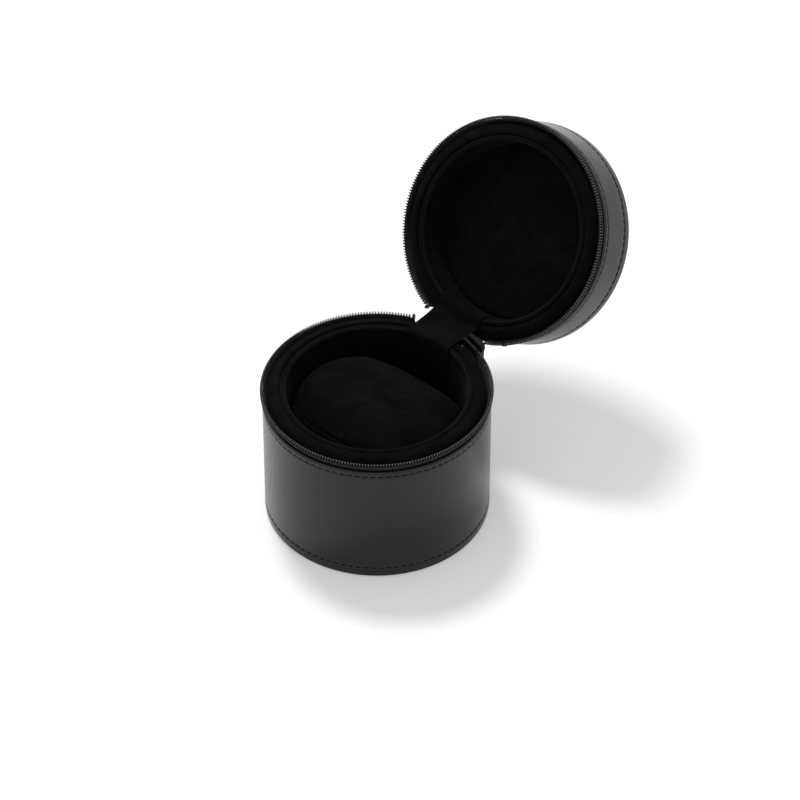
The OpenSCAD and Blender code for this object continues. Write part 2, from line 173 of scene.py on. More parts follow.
# %% Group: velvet nap
nap_group, gi, go = open_group("Velvet nap", [("Place", VEC, None)], ["Height", "Brushed"])
fuzz = noise(nap_group, gi["Place"], 3300.0, 4.0, Roughness=0.7)
brushed = noise(nap_group, gi["Place"], 85.0, 2.5, Distortion=0.9)
nap_group.links.new(fuzz, go["Height"])
nap_group.links.new(spread(nap_group, brushed, 0.34, 0.68), go["Brushed"])

# %% [markdown]
# ## Lint
# Dark velvet always carries a few pale specks. Each cell of a Voronoi pattern draws a random
# number; only the rare high ones show a speck near their middle.

# %% Group: lint
lint_group, gi, go = open_group("Lint", [("Place", VEC, None), ("Share", NUM, 0.08)], ["Mask"])
cells = add(lint_group, "TexVoronoi", {"Vector": gi["Place"], "Scale": 210.0})
rare = sum_up(lint_group, "GREATER_THAN",
              add(lint_group, "SeparateColor", {"Color": cells.outputs["Color"]}).outputs["Red"],
              sum_up(lint_group, "SUBTRACT", 1.0, gi["Share"]))
speck = spread(lint_group, cells.outputs["Distance"], 0.03, 0.012)
lint_group.links.new(sum_up(lint_group, "MULTIPLY", rare, speck), go["Mask"])

# %% [markdown]
# ## Weave
# Zip tape is a fine twill: ridges that run aslant, cut into single threads. Two waves over
# the piece's own unrolled coordinates do it, because the threads must follow the tape round.

# %% Group: twill weave
weave_group, gi, go = open_group("Twill weave", [("Along", VEC, None), ("Threads", NUM, 2600.0)],
                                 ["Height", "Shade"])
axes = add(weave_group, "SeparateXYZ", {"Vector": gi["Along"]}).outputs
turns = sum_up(weave_group, "MULTIPLY", gi["Threads"], ONCE_ROUND)
slant = sum_up(weave_group, "ADD", axes["X"], sum_up(weave_group, "MULTIPLY", axes["Y"], 0.8))
ridge = sum_up(weave_group, "SINE", sum_up(weave_group, "MULTIPLY", slant, turns))
finer_turns = sum_up(weave_group, "MULTIPLY", turns, 1.6)
cut = sum_up(weave_group, "SINE", sum_up(weave_group, "MULTIPLY", axes["Y"], finer_turns))
mixed = sum_up(weave_group, "ADD", sum_up(weave_group, "MULTIPLY", ridge, 0.35),
               sum_up(weave_group, "MULTIPLY", cut, 0.15))
weave_group.links.new(sum_up(weave_group, "ADD", mixed, 0.5), go["Height"])
weave_group.links.new(spread(weave_group, mixed, -0.5, 0.5), go["Shade"])

# %% [markdown]
# ## Rub
# Handling polishes what sticks out: the leather's edges and the corners of metal. The Bevel
# node rounds the normal near an edge; where that differs from the plain normal, there is an
# edge, and a noise breaks the line up.

# %% Group: rubbed edges
rub_group, gi, go = open_group("Rubbed edges", [("Place", VEC, None), ("Reach", NUM, 0.0004)], ["Mask"])
rounded = add(rub_group, "Bevel", {"Radius": gi["Reach"]}, samples=4).outputs["Normal"]
plain = add(rub_group, "NewGeometry").outputs["Normal"]
alike = add(rub_group, "VectorMath", {0: rounded, 1: plain}, operation="DOT_PRODUCT").outputs["Value"]
patchy = noise(rub_group, gi["Place"], 700.0, 3.0)
rub_group.links.new(sum_up(rub_group, "MULTIPLY", spread(rub_group, alike, 0.995, 0.86),
                           spread(rub_group, patchy, 0.35, 0.6)), go["Mask"])

# %% [markdown]
# ## Materials
# Every finish is one Principled shader. What is the same all over is set on the shader; what
# changes over the surface comes from the groups and goes to colour, roughness and bump.


# %% Material helpers
def open_finish(name, **constants):
    """A new material; returns its tree, its shader and the piece's own coordinates."""
    material = bpy.data.materials.new(name)
    material.use_nodes = True
    tree = material.node_tree
    shader = tree.nodes["Principled BSDF"]
    for key, value in constants.items():
        shader.inputs[key.replace("_", " ")].default_value = value
    place = add(tree, "TexCoord").outputs
    print("finish:", name)
    return material, tree, shader, place


def tint(tree, shader, factor, low, high):
    """Feeds the base colour with a mix of two greys, slightly cool."""
    mix = colour_mix(tree, factor, (low, low, low * 1.06, 1), (high, high, high * 1.05, 1))
    tree.links.new(mix, shader.inputs["Base Color"])
    return mix


def roughness(tree, shader, value, low, high, at_low, at_high):
    """Feeds the roughness from a value that is stretched to the range of this finish."""
    tree.links.new(spread(tree, value, low, high, at_low, at_high), shader.inputs["Roughness"])


def bump(tree, shader, height, depth, strength=1.0):
    """Feeds the normal from a height; depth is in metres."""
    made = add(tree, "Bump", {"Strength": strength, "Distance": depth, "Height": height})
    tree.links.new(made.outputs["Normal"], shader.inputs["Normal"])


# %% [markdown]
# ### Leather
# Smooth black leather with a satin finish. It is nearly all gloss: its own colour is close
# to black, and the pale floor mirrored in it makes the grey that the eye sees.

# %% Leather
leather, tree, shader, place = open_finish("smooth_leather", IOR=1.39)
grain = use_group(tree, grain_group, {"Place": place["Object"]})
rub = use_group(tree, rub_group, {"Place": place["Object"]})
tone = sum_up(tree, "ADD", sum_up(tree, "MULTIPLY", grain["Patches"], 0.5), rub["Mask"], clamp=True)
tint(tree, shader, tone, 0.003, 0.009)
roughness(tree, shader, grain["Patches"], 0.0, 1.0, 0.22, 0.29)
bump(tree, shader, grain["Height"], 0.00008, 0.7)

# %% [markdown]
# ### Velvet
# Velvet drinks light: low gloss, rough, with a faint sheen where the pile is seen edge on.
# The piping is the same cloth drawn tight over a cord, with one thin painted highlight
# along the top of its bend: a lighter line in its colour.


# %% Velvet for linings, piping and cushion
def velvet_finish(name, low, high, sheen, share, ridge=None):
    """share is how much of the cloth carries lint; ridge is where the painted highlight line
    lies, in millimetres across the unrolled piece."""
    material, tree, shader, place = open_finish(
        name, Specular_IOR_Level=0.04, Sheen_Weight=sheen, Sheen_Roughness=0.35,
        Sheen_Tint=(0.8, 0.82, 0.88, 1))
    nap = use_group(tree, nap_group, {"Place": place["Object"]})
    lint = use_group(tree, lint_group, {"Place": place["Object"], "Share": share})
    mix = tint(tree, shader, nap["Brushed"], low, high)
    # Painted highlight: a thin lighter line along the piping's bend, mixed into the base colour.
    if ridge:
        around = add(tree, "SeparateXYZ", {"Vector": place["UV"]}).outputs["Y"]
        from_painted_line = sum_up(tree, "ABSOLUTE", sum_up(tree, "SUBTRACT", around, ridge * MM))
        mix = colour_mix(tree, spread(tree, from_painted_line, 0.0004, 0.0), mix, (0.009, 0.009, 0.0093, 1))
    specks = colour_mix(tree, lint["Mask"], mix, (0.06, 0.06, 0.06, 1))
    tree.links.new(specks, shader.inputs["Base Color"])
    roughness(tree, shader, nap["Brushed"], 0.0, 1.0, 0.95, 0.8)
    bump(tree, shader, nap["Height"], 0.00025, 0.7)
    return material


velvet = velvet_finish("velvet", 0.0018, 0.0032, 0.018, 0.10)
piping_velvet = velvet_finish("piping_velvet", 0.0022, 0.0036, 0.02, 0.05, ridge=3.5)

# %% [markdown]
# ### Tape, coil, thread and metal
# Tape is matt woven polyester, the thread is waxed, and the slider is a small casting under
# black paint that has rubbed thin on its corners. The coil is nylon wire; its bends carry
# painted highlights, a lighter base colour in rows of light dots, so its coordinates count the turns.

# %% Woven tape
tape_cloth, tree, shader, place = open_finish("zip_tape", Specular_IOR_Level=0.2, Roughness=0.85,
                                              Sheen_Weight=0.04, Sheen_Roughness=0.5)
weave = use_group(tree, weave_group, {"Along": place["UV"]})
tint(tree, shader, weave["Shade"], 0.003, 0.010)
bump(tree, shader, weave["Height"], 0.00012, 0.8)

# %% Nylon wire
nylon, tree, shader, place = open_finish("nylon_coil", IOR=1.53, Specular_IOR_Level=0.16)
worn = noise(tree, place["Object"], 400.0, 2.0)
turn = add(tree, "SeparateXYZ", {"Vector": place["UV"]}).outputs["X"]
lap = sum_up(tree, "COSINE", sum_up(tree, "MULTIPLY", turn, ONCE_ROUND / (ZIP_PITCH * MM)))
# Painted highlights: the base colour is made lighter at the head and tail bends of every turn.
painted_dots = sum_up(tree, "ADD", spread(tree, lap, -0.5, -1.0), spread(tree, lap, 0.7, 1.0, 0.0, 0.4))
dark = tint(tree, shader, worn, 0.002, 0.006)
painted_highlights = colour_mix(tree, painted_dots, dark, (0.10, 0.10, 0.105, 1))
tree.links.new(painted_highlights, shader.inputs["Base Color"])
roughness(tree, shader, worn, 0.3, 0.7, 0.16, 0.26)
bump(tree, shader, worn, 0.00002, 0.3)

# %% Waxed thread
thread, tree, shader, place = open_finish("thread", Specular_IOR_Level=0.12, Sheen_Weight=0.01,
                                          Sheen_Roughness=0.4)
twist = use_group(tree, weave_group, {"Along": place["UV"], "Threads": 2200.0})
tint(tree, shader, twist["Shade"], 0.001, 0.004)
roughness(tree, shader, twist["Shade"], 0.0, 1.0, 0.65, 0.5)
bump(tree, shader, twist["Height"], 0.00008, 0.8)

# %% Painted metal
paint, tree, shader, place = open_finish("dark_metal", IOR=1.5, Specular_IOR_Level=0.15)
rub = use_group(tree, rub_group, {"Place": place["Object"], "Reach": 0.00025})
ripple = noise(tree, place["Object"], 900.0, 2.0)
tint(tree, shader, rub["Mask"], 0.003, 0.04)
tree.links.new(sum_up(tree, "MULTIPLY", rub["Mask"], 0.5), shader.inputs["Metallic"])
roughness(tree, shader, ripple, 0.3, 0.7, 0.3, 0.42)
bump(tree, shader, ripple, 0.00001, 0.4)

# %% [markdown]
# ### Board and foam
# These sit inside the walls and under the velvet. They are still part of the case, so they
# get their own look: grey-brown fibre board with flecks, and foam with open cells.

# %% Board and foam
board, tree, shader, place = open_finish("board", Specular_IOR_Level=0.2)
fleck = noise(tree, place["Object"], 1400.0, 5.0, Roughness=0.7)
pulp = colour_mix(tree, spread(tree, fleck, 0.35, 0.65), (0.16, 0.12, 0.085, 1), (0.42, 0.34, 0.25, 1))
tree.links.new(pulp, shader.inputs["Base Color"])
roughness(tree, shader, fleck, 0.3, 0.7, 0.95, 0.8)
bump(tree, shader, fleck, 0.0001, 0.6)

foam, tree, shader, place = open_finish("foam", Specular_IOR_Level=0.1)
holes = add(tree, "TexVoronoi", {"Vector": place["Object"], "Scale": 1500.0}).outputs["Distance"]
pores = colour_mix(tree, spread(tree, holes, 0.1, 0.6), (0.10, 0.10, 0.10, 1), (0.36, 0.36, 0.35, 1))
tree.links.new(pores, shader.inputs["Base Color"])
roughness(tree, shader, holes, 0.1, 0.6, 1.0, 0.85)
bump(tree, shader, holes, 0.0003, 0.7)

# %% [markdown]
# ## Helpers for pieces
# A ring can be made with the Screw modifier, but then stitch holes and soft dents can't be
# pressed into it. So a lathe is written by hand: it turns a closed outline of radius and
# depth about the axis in many small steps, and a function may move each point on the way.
# Every piece also gets coordinates unrolled in metres, for weaves that follow it round.


# %% Piece builder
def in_scene(name, data):
    """A new object for this mesh, lamp or camera, standing in the scene."""
    made = bpy.data.objects.new(name, data)
    bpy.context.scene.collection.objects.link(made)
    return made


def make_piece(name, points, faces, coords, finish, slot, body="base", stands_for=(), lid=False, crease=38):
    """Makes one object in metres from points in millimetres, and hands it to its body."""
    pts = opened(points) if lid else np.asarray(points, float)
    mesh = bpy.data.meshes.new(name)
    mesh.from_pydata((pts * MM).tolist(), [], faces)
    mesh.uv_layers.new(name="Unrolled").data.foreach_set("uv", (np.asarray(coords, float) * MM).ravel())
    shape = bmesh.new()
    shape.from_mesh(mesh)
    bmesh.ops.remove_doubles(shape, verts=shape.verts, dist=1e-7)
    if shape.calc_volume(signed=True) < 0:
        bmesh.ops.reverse_faces(shape, faces=shape.faces)
    bmesh.ops.triangulate(shape, faces=[f for f in shape.faces if len(f.verts) > 4])
    shape.to_mesh(mesh)
    shape.free()
    mesh.shade_smooth()
    mesh.set_sharp_from_angle(angle=math.radians(crease))
    mesh.materials.append(finish)
    piece = in_scene(name, mesh)
    if stands_for:
        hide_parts(*stands_for)
    if body:
        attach(piece, body)
    print(f"{name}: {len(mesh.vertices)} points, {len(mesh.polygons)} faces")
    return piece


def grid_faces(rows, cols, wrap_rows=False, wrap_cols=False):
    """Quads over a grid of points that is stored row by row."""
    a, b = np.meshgrid(np.arange(rows if wrap_rows else rows - 1),
                       np.arange(cols if wrap_cols else cols - 1), indexing="ij")
    a, b = a.ravel(), b.ravel()
    a2, b2 = (a + 1) % rows, (b + 1) % cols
    return np.stack([a * cols + b, a2 * cols + b, a2 * cols + b2, a * cols + b2], 1), a, b


def grid_coords(a, b, across, along):
    """Unrolled coordinates for the quads of grid_faces; both lists have one spare entry."""
    u = np.stack([across[a], across[a + 1], across[a + 1], across[a]], 1)
    v = np.stack([along[b], along[b], along[b + 1], along[b + 1]], 1)
    return np.stack([u, v], -1).reshape(-1, 2)


def add_ends(faces, coords, rows, cols):
    """Closes a tube of rows of points with one face at each end."""
    ends = [list(range(cols)), list(range((rows - 1) * cols, rows * cols))[::-1]]
    return faces.tolist() + ends, np.vstack([coords, np.zeros((2 * cols, 2))])


def lengths_along(path):
    """How far along a path each of its points lies."""
    return np.concatenate([[0], np.cumsum(np.linalg.norm(np.diff(path, axis=0), axis=1))])


def closed_up(line):
    """A line with its first point once more at the end."""
    return np.vstack([line, line[:1]])


def half_name(lid):
    return "lid" if lid else "base"


def on_half(theta, r, d, lid):
    """Points from angle, radius and depth on the base or on the closed lid."""
    z = LID_EDGE - d if lid else BASE_EDGE + d
    return np.stack([r * np.cos(theta), r * np.sin(theta), z], -1)


# %% Lathe
def lathe(name, outline, finish, slot, stands_for, lid=False, steps=372, shape=None, crease=38):
    """Turns an outline of [radius, depth] once round. An outline that starts and ends on the
    axis makes a disc; any other is closed and makes a ring."""
    line = np.array(outline, float)
    disc = line[0, 0] == 0 and line[-1, 0] == 0
    theta = (ONCE_ROUND * np.arange(steps) / steps)[:, None]
    r = np.repeat(line[None, :, 0], steps, 0)
    d = np.repeat(line[None, :, 1], steps, 0)
    if shape:
        out, up = shape(theta, r, d)
        r, d = r + out, d + up
    points = on_half(theta, r, d, lid).reshape(-1, 3)
    faces, a, b = grid_faces(steps, len(line), wrap_rows=True, wrap_cols=not disc)
    along = lengths_along(closed_up(line))
    across = line[:, 0].max() * ONCE_ROUND * np.arange(steps + 1) / steps
    return make_piece(name, points, faces.tolist(), grid_coords(a, b, across, along), finish, slot,
                      half_name(lid), stands_for, lid, crease)


def arc(cx, cd, radius_r, radius_d, start, end, count):
    """Points of an elliptical arc, angles in degrees."""
    a = np.radians(np.linspace(start, end, count))
    return [[cx + radius_r * math.cos(t), cd + radius_d * math.sin(t)] for t in a]


def waves(theta, v, seed, amount, counts=(2, 3, 5, 8, 13)):
    """Slow, uneven swelling round a ring: a few sines with drawn phases."""
    draw = np.random.default_rng(seed)
    total = 0
    for k in counts:
        phase, lean = draw.uniform(0, ONCE_ROUND), draw.uniform(-0.12, 0.12)
        total = total + np.sin(k * theta + phase + lean * v) / k ** 0.4
    return amount * total / len(counts)


# %% Tube
def tube(path, radius, sides, far=None):
    """Points, faces and coordinates of a round wire along a path, in millimetres. Its frame is
    carried along the path without twisting. far can count along the path in other steps."""
    path = np.asarray(path, float)
    run = np.gradient(path, axis=0)
    run /= np.linalg.norm(run, axis=1)[:, None]
    side = np.cross(run[0], [0.0, 0.0, 1.0] if abs(run[0][2]) < 0.9 else [1.0, 0.0, 0.0])
    side /= np.linalg.norm(side)
    sides_at = [side]
    for t in run[1:]:
        side = side - t * np.dot(side, t)
        side /= np.linalg.norm(side)
        sides_at.append(side)
    s = np.array(sides_at)
    up = np.cross(run, s)
    angle = (ONCE_ROUND * np.arange(sides) / sides)[None, :, None]
    rad = np.broadcast_to(np.asarray(radius, float), (len(path),))[:, None, None]
    rings = path[:, None] + rad * (s[:, None] * np.cos(angle) + up[:, None] * np.sin(angle))
    faces, a, b = grid_faces(len(path), sides, wrap_cols=True)
    far = lengths_along(path) if far is None else far
    around = np.linspace(0, ONCE_ROUND * float(rad.max()), sides + 1)
    faces, coords = add_ends(faces, grid_coords(a, b, far, around), len(path), sides)
    faces[-2], faces[-1] = faces[-2][::-1], faces[-1][::-1]
    return rings.reshape(-1, 3), faces, coords


def join_parts(parts):
    """Several (points, faces, coordinates) as one."""
    points, faces, coords, base = [], [], [], 0
    for p, f, c in parts:
        points.append(p)
        faces += [[i + base for i in face] for face in f]
        coords.append(c)
        base += len(p)
    return np.vstack(points), faces, np.vstack(coords)


# %% [markdown]
# ## Leather walls
# Each wall is one strip of leather round the board, with a row of stitches near both edges.
# Each stitch sinks into the leather, which stands up between one stitch and the next, and the
# strip swells a little between the last row and the edge, where it is folded over. A bump map
# would lose this in silhouette and in the sharp highlight, so it is pressed into the mesh,
# with eight steps to a stitch.


# %% Leather wall with its pressed rows
DENT_DEEP, DENT_HALF, GAP_HALF, FOLD_SWELL = 0.7, 0.42, 0.62, 0.26
STITCH_PITCH = ONCE_ROUND / STITCHES


def leather_wall(name, deep, rows, lid, stands_for, seed):
    """deep is the wall's far end; rows are the depths of its stitches, the one at the seam last.
    The mesh has wide steps in the plain part and fine ones near each row."""
    edge, foot = 0.5, 1.1
    levels = set(np.arange(deep + foot, -edge, 2.2).round(3)) | {-edge}
    for row in rows:
        levels = {x for x in levels if abs(x - row) > 1.3}
        levels |= {round(row + x, 3) for x in (-1.2, -0.8, -0.5, -0.3, -0.12, 0.12, 0.3, 0.5, 0.8, 1.2)}
    levels = [x for x in sorted(levels) if deep + foot <= x <= -edge]
    outline = [[LEATHER_IN, deep]] + arc(OUTER_R - foot, deep + foot, foot, foot, -90, 0, 8)[:-1]
    outline += [[OUTER_R, x] for x in levels]
    outline += arc(OUTER_R - edge, -edge, edge, edge, 0, 90, 6)[1:] + [[LEATHER_IN, 0]]

    def shape(theta, r, d):
        outside = r > OUTER_R - 0.02
        out = waves(theta, d, seed, 0.05)
        from_gap = ((theta / STITCH_PITCH + 0.5) % 1 - 0.5) * STITCH_PITCH * OUTER_R
        for row in rows:
            near = np.exp(-((d - row) / DENT_HALF) ** 2)
            out = out - DENT_DEEP * near * (1 - 0.92 * np.exp(-(from_gap / GAP_HALF) ** 2))
        fold = np.clip((d - rows[-1]) / -rows[-1], 0, 1)
        out = out + FOLD_SWELL * np.sin(math.pi * fold)
        return np.where(outside, out, 0), np.zeros_like(d)

    return lathe(name, outline, leather, "smooth_leather", stands_for, lid, 8 * STITCHES, shape, 50)


FROM_END, FROM_SEAM = 4.8, 2.75
base_rows, lid_rows = (FROM_END + BASE_DEEP, -FROM_SEAM), (FROM_END + LID_DEEP, -FROM_SEAM)
leather_wall("base_leather_wall", BASE_DEEP, base_rows, False, ["base_wall_leather"], 11)
leather_wall("lid_leather_wall", LID_DEEP, lid_rows, True, ["lid_wall_leather"], 12)

# %% [markdown]
# ## Leather discs
# The underside and the lid's top are flat panels that butt against the wall's folded edge.
# A panel bought as a cylinder would have knife edges; here its edge rolls down into the
# seam, and its middle swells by hundredths of a millimetre, as leather does over glue.


# %% Bottom and top panels
def leather_disc(name, deep, lid, stands_for, seed):
    """A panel at the wall's far end, which lies at the depth deep."""
    roll = 0.5
    r = LEATHER_IN - 0.06
    outline = [[0, deep + 1.2], [r, deep + 1.2], [r, deep + roll]]
    outline += arc(r - roll, deep + roll, roll, roll, 0, -90, 6)[1:]
    outline += [[x, deep] for x in (44, 40, 34, 28, 22, 16, 10, 5)] + [[0, deep]]

    def shape(theta, r_at, d):
        middle = (d < deep + 0.01) & (r_at > 0) & (r_at < 45)
        return np.zeros_like(d), np.where(middle, waves(theta, r_at, seed, 0.03) * (r_at / 45), 0)

    return lathe(name, outline, leather, "smooth_leather", stands_for, lid, 186, shape, 50)


leather_disc("base_leather_bottom", BASE_DEEP, False, ["base_bottom_leather"], 13)
leather_disc("lid_leather_top", LID_DEEP, True, ["lid_top_leather"], 14)

# %% [markdown]
# ## Stitches
# A stitch is a short length of thread that comes out of one hole, lies in the groove and
# dives into the next. A row of little tubes, each with its ends bent down, is exact and
# cheap, and its twist comes from the material.


# %% Rows of thread
HALF_STITCH, SUNK = 1.42, 0.26


def stitch_row(name, depth, lid, node, seed):
    """One row: each stitch has nine rings, thinner and deeper towards both holes."""
    draw = np.random.default_rng(seed)
    along = np.array([-HALF_STITCH, -1.25, -1.0, -0.5, 0.0, 0.5, 1.0, 1.25, HALF_STITCH])
    lift = np.array([-0.62, -0.36, -0.14, -0.03, 0.0, -0.03, -0.14, -0.36, -0.62])
    thick = [0.16, 0.21, 0.235, 0.245, 0.25, 0.245, 0.235, 0.21, 0.16]
    parts = []
    for i in range(STITCHES):
        slant, sink = draw.normal(0, 0.05), draw.normal(0, 0.02)
        theta = (i + 0.5) * STITCH_PITCH + along / OUTER_R
        lean = slant * along / 1.4
        path = on_half(theta, OUTER_R - SUNK + lift + sink, depth - lean if lid else depth + lean, lid)
        parts.append(tube(path, thick, 8))
    make_piece(name, *join_parts(parts), thread, "thread", half_name(lid), [node], lid, 60)


stitch_row("base_thread_rim", base_rows[1], False, "base_rim_stitches", 21)
stitch_row("base_thread_foot", base_rows[0], False, "base_foot_stitches", 22)
stitch_row("lid_thread_rim", lid_rows[1], True, "lid_rim_stitches", 23)
stitch_row("lid_thread_top", lid_rows[0], True, "lid_top_stitches", 24)

# %% [markdown]
# ## Zip tape
# The tape is sewn into the seam behind the leather, leans out, then stands up behind the
# coil. Past the coil's ends it is cut low and runs on to the hinge strip. It is a ribbon
# whose height changes along its length, so it is made as a grid of cross sections instead
# of a plain lathe.

# %% Tape as a ribbon of changing height
TAPE_TOP, TAPE_T, TAIL_H, TAPE_FOOT = 4.15, 0.6, 1.2, -6.0
LEAN_OUT, LEAN_OVER = 0.9, 2.4
STRIP_LEFT, STRIP_RIGHT = -13.5, 8.7
tape_start = math.degrees(math.acos(STRIP_LEFT / TAPE_IN)) + 0.3
tape_stop = 360 + math.degrees(math.acos(STRIP_RIGHT / TAPE_IN)) - 0.3


def ease(x):
    """A soft step from 0 to 1."""
    return x * x * (3 - 2 * x)


def zip_tape(name, left, right, end, lid, node):
    """left and right are where the full height starts and ends, end is where the tape ends,
    all three in degrees. The height changes over 1.1 degrees."""
    step = 1.1
    has_tail = end > right + 1.3
    az = np.concatenate([np.linspace(tape_start, left - 1.2, 10), np.linspace(left - step, left, 8),
                         np.linspace(left, right, 520)[1:-1], np.linspace(right, right + step, 8)])
    az = np.concatenate([az, np.linspace(right + 1.2, end, 16)]) if has_tail else az[az <= end]
    rise = (az - left + step) / step
    if has_tail:
        rise = np.minimum(rise, (right + step - az) / step)
    top = TAIL_H + (TAPE_TOP - TAIL_H) * ease(np.clip(rise, 0, 1))
    s = np.array([0, 0.25, 0.5, 0.55, 0.6, 0.65, 0.7, 0.76, 0.82, 0.9, 0.97])
    half = TAPE_T / 2 - 0.01
    d = TAPE_FOOT + (top[:, None] - TAPE_FOOT) * s
    mid = LEATHER_IN - TAPE_T / 2 + LEAN_OUT * ease(np.clip(d / LEAN_OVER, 0, 1))
    crown_r = mid[:, -1:]
    r = np.hstack([mid + half, crown_r + half * 0.6, crown_r, crown_r - half * 0.6, mid[:, ::-1] - half])
    tip = top[:, None]
    d = np.hstack([d, tip - 0.05, tip, tip - 0.05, d[:, ::-1]])
    points = on_half(np.radians(az)[:, None], r, d, lid)
    rows, cols = points.shape[:2]
    faces, a, b = grid_faces(rows, cols, wrap_cols=True)
    along = lengths_along(closed_up(points[rows // 2]))
    faces, coords = add_ends(faces, grid_coords(a, b, np.radians(az) * OUTER_R, along), rows, cols)
    make_piece(name, points.reshape(-1, 3), faces, coords, tape_cloth, "zip_tape",
               half_name(lid), [node], lid, 45)


BASE_ZIP, LID_ZIP, STOP = (111.3, 437.8), (114.6, 435.8), 1.2
zip_tape("base_tape", BASE_ZIP[0] - STOP, BASE_ZIP[1] + STOP, BASE_ZIP[1] + STOP, False, "base_zip_tape")
zip_tape("lid_tape", LID_ZIP[0] - STOP, LID_ZIP[1], tape_stop, True, "lid_zip_tape")

# %% [markdown]
# ## Zip coil
# A coil zip is one nylon wire wound into flat loops and sewn to the tape. A toothed band
# would look like a rack; the light dots that the eye sees on a real one are the bends of the
# wire. So the wire itself is swept: each turn goes up the outside, round the head and back
# down the inside. Two sewing threads lie over the loops and dip between them.


# %% Wound wire and its sewing threads
WIRE, COIL_R, COIL_D = 0.32, 49.35, 3.8
COIL_HALF_THICK, COIL_HALF_HIGH = 0.65, 1.1
SEWN_AT, SEWN_THREAD = (3.34, 3.6), 0.13


def zip_coil(left, right, lid, node):
    """The wire steps on to the next loop at its tail, the low end; the rest of a turn stands
    square. Where the threads lie, the outer leg is pressed in."""
    first, span = math.radians(left), math.radians(right - left)
    turns = int(span * 50.0 / ZIP_PITCH)
    per = 16
    t = np.arange(turns * per + 1) / per
    c, s = np.cos(ONCE_ROUND * t), np.sin(ONCE_ROUND * t)
    depth = COIL_D - np.sign(c) * np.abs(c) ** 0.75 * (COIL_HALF_HIGH - WIRE)
    pressed = 0.2 * np.exp(-((depth - 3.46) / 0.34) ** 2) * (s > 0)
    r = COIL_R + np.sign(s) * np.abs(s) ** 0.6 * (COIL_HALF_THICK - WIRE) - pressed
    step_on = np.clip((t - np.round(t)) / 0.32, -0.5, 0.5)
    theta = first + span * (np.round(t) + step_on + 0.5) / (turns + 1)
    body = half_name(lid)
    wound = tube(on_half(theta, r, depth, lid), WIRE, 6, far=ZIP_PITCH * t)
    make_piece(body + "_coil", *wound, nylon, "nylon_coil", body, [node], lid, 70)
    ts = np.arange(turns * 4 + 3) / 4
    dips = COIL_R + 0.1 - 0.36 * np.cos(ONCE_ROUND * ts)
    theta = first + span * (ts + 0.5) / (turns + 1)
    threads = [tube(on_half(theta, dips, np.full_like(dips, at), lid), SEWN_THREAD, 5) for at in SEWN_AT]
    make_piece(body + "_coil_thread", *join_parts(threads), thread, "thread", body, (), lid, 70)


zip_coil(BASE_ZIP[0] + 0.2, BASE_ZIP[1] - 0.2, False, "base_zip_coil")
zip_coil(LID_ZIP[0] + 0.2, LID_ZIP[1] - 0.2, True, "lid_zip_coil")

# %% [markdown]
# ## Padded rims
# The velvet runs from the seam over a roll of foam, round the mouth and down the cavity
# wall, in one skin. Foam under cloth is never quite even, so slow waves press it in and out
# by a quarter of a millimetre. The sewn edges, where it is held, stay put.


# %% Velvet over the foam roll
def padded_rim(name, floor_depth, lid, stands_for, seed):
    """The outline runs over the roll, down into the piping's seat, down the cavity wall to the
    floor, and back on the cloth's hidden side."""
    outline = [[TAPE_IN, -6], [TAPE_IN, -3], [TAPE_IN, -0.5]]
    outline += arc(CREST_R, CROWN_D, TAPE_IN - CREST_R, CREST_D - CROWN_D, 0, 90, 22)
    outline += [[42.4, 4.93], [42.1, 4.7], [WELT_OUT, 4.3], [WELT_OUT, 3.0], [WELT_OUT, 1.9]]
    outline += [[WELT_OUT - 0.3, 1.7], [39.2, 1.7], [38.8, 1.55], [CAVITY_R, 1.2]]
    outline += [[CAVITY_R, x] for x in np.arange(-1.5, floor_depth, -2.5)] + [[CAVITY_R, floor_depth]]
    outline += [[FOAM_IN, floor_depth], [FOAM_IN, 0.9], [CREST_R, 0.9]]
    outline += arc(CREST_R, CROWN_D, TAIL_IN - CREST_R, 3.4, 90, 0, 10)[1:] + [[TAIL_IN, -6]]

    def shape(theta, r, d):
        t = np.clip((d - CROWN_D) / (CREST_D - CROWN_D), 0, 1)
        crown = np.where((r > CREST_R - 0.01) & (d > CROWN_D), np.sin(math.pi * t ** 0.8), 0)
        swell = waves(theta, d * 2, seed, 0.28) - 0.08
        on_wall = (np.abs(r - CAVITY_R) < 0.01) & (d < 0)
        wall = np.where(on_wall, waves(theta, d, seed + 1, 0.16) + 0.1, 0)
        outwards = np.clip((CREST_D - 0.2 - d) / 4, 0, 1)
        return crown * swell * outwards + wall, crown * swell * (1 - outwards)

    return lathe(name, outline, velvet, "velvet", stands_for, lid, 372, shape, 50)


base_rim = padded_rim("base_velvet_rim", BASE_FLOOR_D, False, ["base_wall_lining"], 31)
lid_rim = padded_rim("lid_velvet_rim", LID_WALL_D, True, ["lid_wall_lining"], 32)

# %% [markdown]
# ## Piping
# Round each mouth lies a cord wrapped in velvet. Its cloth is cut on the bias and puckers a
# little along the inside of the bend, which a slanting ripple gives.


# %% Piping
PUCKERS = 62


def piping(name, lid, node, seed):
    outline = arc(CAVITY_R + WELT_R, WELT_D, WELT_R - 0.02, WELT_R - 0.02, 0, 360, 19)[:-1]

    def shape(theta, r, d):
        a = np.arctan2(d - WELT_D, r - CAVITY_R - WELT_R)
        swell = -0.03 + waves(theta, d, seed, 0.05) + 0.025 * np.sin(PUCKERS * theta + a)
        return swell * np.cos(a), swell * np.sin(a)

    lathe(name, outline, piping_velvet, "piping", [node], lid, 12 * PUCKERS, shape, 80)


piping("base_piping", False, "base_rim_welt", 41)
piping("lid_piping", True, "lid_rim_welt", 42)

# %% [markdown]
# ## Floor, insert and ceiling
# Under the cushion a foam block wrapped in velvet fills the base; its edge is rolled where
# the cloth turns down. The lid's ceiling is a padded disc that is tucked in at its edge, so
# it stands a little proud in the middle.

# %% Velvet discs
def from_level(level, line):
    """An outline whose depths are written from a level of their own."""
    return [[r, level + up] for r, up in line]


